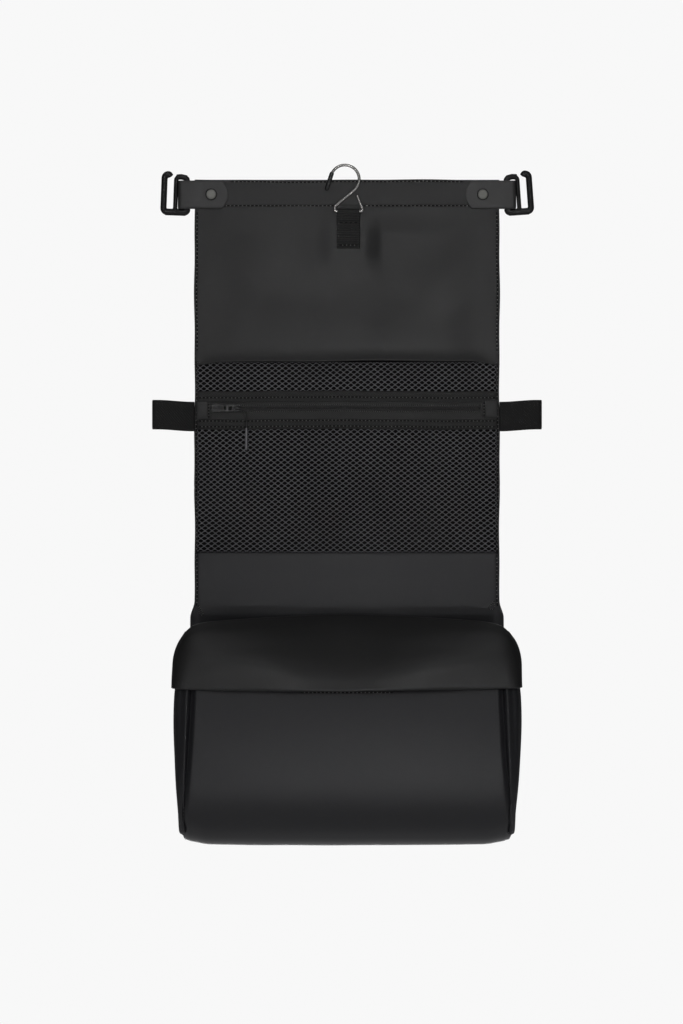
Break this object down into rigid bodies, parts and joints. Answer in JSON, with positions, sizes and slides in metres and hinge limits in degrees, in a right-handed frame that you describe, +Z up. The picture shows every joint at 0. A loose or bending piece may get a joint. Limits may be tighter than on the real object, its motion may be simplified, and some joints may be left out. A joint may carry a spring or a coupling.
{
  "type": "hanging toiletry bag",
  "caption": "Hanging toiletry bag: wire hook, cloth panel with gate hooks, zipped mesh pocket, side loops and a deep open pouch with a turned-down collar.",
  "frame": {"origin": "inside top of the hanging hook's bow, on the bag's middle plane", "axes": "+Z up as it hangs, -Y out of the bag's front, +X to the viewer's right when the front is seen"},
  "size_m": [0.3354, 0.1103, 0.5855],
  "materials": {
    "coated_cloth": "matt coated cloth, neutral near-black",
    "pouch_cloth": "matt coated cloth, slightly blue near-black",
    "mesh": "knitted nylon net",
    "webbing": "woven nylon webbing and tape",
    "tab_strap": "smooth coated strap",
    "black_metal": "gloss black enamel",
    "rivet_grey": "satin grey cap",
    "hook_steel": "gunmetal plating",
    "black_plastic": "smooth black plastic"
  },
  "bodies": {
    "hook": {"hanging_hook": "hook_steel", "hook_tip_sleeve": "black_plastic"},
    "top_panel": {"upper_panel": "coated_cloth", "upper_back": "coated_cloth", "top_stiffener": "black_plastic", "hanger_webbing": "webbing", "tab_left": "tab_strap", "tab_right": "tab_strap", "rivet_cap_left": "rivet_grey", "rivet_cap_right": "rivet_grey", "rivet_post_left": "black_metal", "rivet_post_right": "black_metal"},
    "g_hook_left": {"g_hook_left": "black_metal"},
    "g_hook_right": {"g_hook_right": "black_metal"},
    "mid_panel": {"mid_back": "coated_cloth", "pocket_backing": "pouch_cloth", "lower_facing": "pouch_cloth", "mesh_upper": "mesh", "mesh_lower": "mesh", "zip_binding_upper": "coated_cloth", "zip_binding_lower": "coated_cloth", "zip_tape_upper": "webbing", "zip_tape_lower": "webbing", "zip_coil_upper": "black_plastic", "zip_coil_lower": "black_plastic", "zip_end_tab_left": "coated_cloth", "zip_end_tab_right": "coated_cloth", "zip_stop": "black_metal"},
    "side_loop_left": {"side_loop_left": "webbing"},
    "side_loop_right": {"side_loop_right": "webbing"},
    "zip_slider": {"zip_slider": "black_metal"},
    "zip_pull": {"zip_pull": "black_metal"},
    "pull_cord": {"pull_cord": "webbing", "pull_sleeve": "black_plastic"},
    "pouch": {"pouch_back": "pouch_cloth", "front_panel": "pouch_cloth", "front_neck": "pouch_cloth", "gusset_left": "pouch_cloth", "gusset_right": "pouch_cloth"},
    "collar": {"collar_front": "coated_cloth", "collar_left": "coated_cloth", "collar_right": "coated_cloth"}
  },
  "joints": [
    {"name": "hook_swing", "type": "hinge", "parent": "hook", "child": "top_panel", "pos_m": [0.0016, 0, -0.0386], "axis": [1, 0, 0], "range_deg": [-150, 0]},
    {"name": "upper_fold", "type": "hinge", "parent": "top_panel", "child": "mid_panel", "pos_m": [0, -0.0045, -0.1665], "axis": [-1, 0, 0], "range_deg": [0, 170]},
    {"name": "pouch_fold", "type": "hinge", "parent": "mid_panel", "child": "pouch", "pos_m": [0, 0.002, -0.386], "axis": [1, 0, 0], "range_deg": [-75, 0]},
    {"name": "g_hook_left_swing", "type": "hinge", "parent": "top_panel", "child": "g_hook_left", "pos_m": [-0.1389, 0.004, -0.0242], "axis": [0.0349, 0, 0.9994], "range_deg": [-75, 75]},
    {"name": "g_hook_right_swing", "type": "hinge", "parent": "top_panel", "child": "g_hook_right", "pos_m": [0.1389, 0.004, -0.0242], "axis": [-0.0698, 0, 0.9976], "range_deg": [-75, 75]},
    {"name": "side_loop_left_swing", "type": "hinge", "parent": "mid_panel", "child": "side_loop_left", "pos_m": [-0.1336, 0.004, -0.215], "axis": [0, 0, 1], "range_deg": [-80, 80]},
    {"name": "side_loop_right_swing", "type": "hinge", "parent": "mid_panel", "child": "side_loop_right", "pos_m": [0.1336, 0.004, -0.215], "axis": [0, 0, 1], "range_deg": [-80, 80]},
    {"name": "zip_slide", "type": "slide", "parent": "mid_panel", "child": "zip_slider", "axis": [1, 0, 0], "range_m": [0, 0.218]},
    {"name": "pull_flip", "type": "hinge", "parent": "zip_slider", "child": "zip_pull", "pos_m": [-0.1101, -0.00162, -0.2078], "axis": [0, 0, 1], "range_deg": [-150, 0]},
    {"name": "pull_cord_swing", "type": "hinge", "parent": "zip_pull", "child": "pull_cord", "pos_m": [-0.094, -0.0036, -0.2078], "axis": [0, 1, 0], "range_deg": [-60, 60]},
    {"name": "collar_raise", "type": "slide", "parent": "pouch", "child": "collar", "axis": [0, 0, 1], "range_m": [0, 0.05]}
  ]
}
